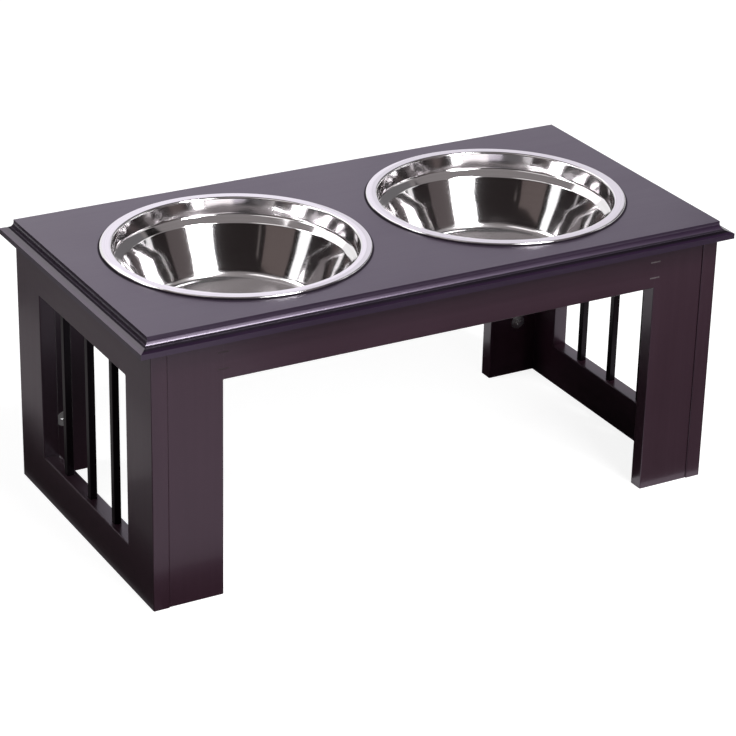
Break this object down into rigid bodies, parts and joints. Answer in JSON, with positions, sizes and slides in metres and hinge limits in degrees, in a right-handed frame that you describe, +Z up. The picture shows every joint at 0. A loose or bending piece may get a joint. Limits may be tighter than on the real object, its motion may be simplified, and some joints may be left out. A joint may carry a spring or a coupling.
{
  "type": "elevated dog feeder",
  "caption": "Raised wooden pet feeder: a moulded top board on a frame with slatted side panels, with round steel bowls that lift out of cut-outs.",
  "frame": {"origin": "on the floor, under the middle of the stand", "axes": "+X along the length towards the right-hand bowl, -Y to the front, +Z up"},
  "size_m": [0.584, 0.3, 0.2566],
  "materials": {
    "top_lacquer": "satin dark lacquer",
    "frame_lacquer": "satin dark lacquer",
    "polished_steel": "polished stainless steel",
    "cam_zinc": "bright zinc",
    "bolt_steel": "zinc plated",
    "dowel_beech": "bare beech",
    "painted_wire": "painted over with the frame"
  },
  "bodies": {
    "frame": {"top_board": "top_lacquer", "front_apron": "frame_lacquer", "back_apron": "frame_lacquer", "front_left_leg": "frame_lacquer", "front_right_leg": "frame_lacquer", "back_left_leg": "frame_lacquer", "back_right_leg": "frame_lacquer", "left_front_stile": "frame_lacquer", "left_back_stile": "frame_lacquer", "right_front_stile": "frame_lacquer", "right_back_stile": "frame_lacquer", "left_top_rail": "frame_lacquer", "left_bottom_rail": "frame_lacquer", "right_top_rail": "frame_lacquer", "right_bottom_rail": "frame_lacquer", "left_front_slat": "frame_lacquer", "left_middle_slat": "frame_lacquer", "left_back_slat": "frame_lacquer", "right_front_slat": "frame_lacquer", "right_middle_slat": "frame_lacquer", "right_back_slat": "frame_lacquer", "left_cam_locks": "cam_zinc", "right_cam_locks": "cam_zinc", "top_cam_locks": "cam_zinc", "left_cam_bolts": "bolt_steel", "right_cam_bolts": "bolt_steel", "top_cam_bolts": "bolt_steel", "left_panel_dowels": "dowel_beech", "right_panel_dowels": "dowel_beech", "left_leg_dowels": "dowel_beech", "right_leg_dowels": "dowel_beech", "front_apron_dowels": "dowel_beech", "back_apron_dowels": "dowel_beech", "top_dowels": "dowel_beech", "front_staples": "painted_wire", "back_staples": "painted_wire"},
    "left_bowl": {"left_bowl": "polished_steel"},
    "right_bowl": {"right_bowl": "polished_steel"}
  },
  "joints": [
    {"name": "left_bowl_lift", "type": "slide", "parent": "frame", "child": "left_bowl", "axis": [0, 0, 1], "range_m": [0, 0.09]},
    {"name": "right_bowl_lift", "type": "slide", "parent": "frame", "child": "right_bowl", "axis": [0, 0, 1], "range_m": [0, 0.09]}
  ]
}
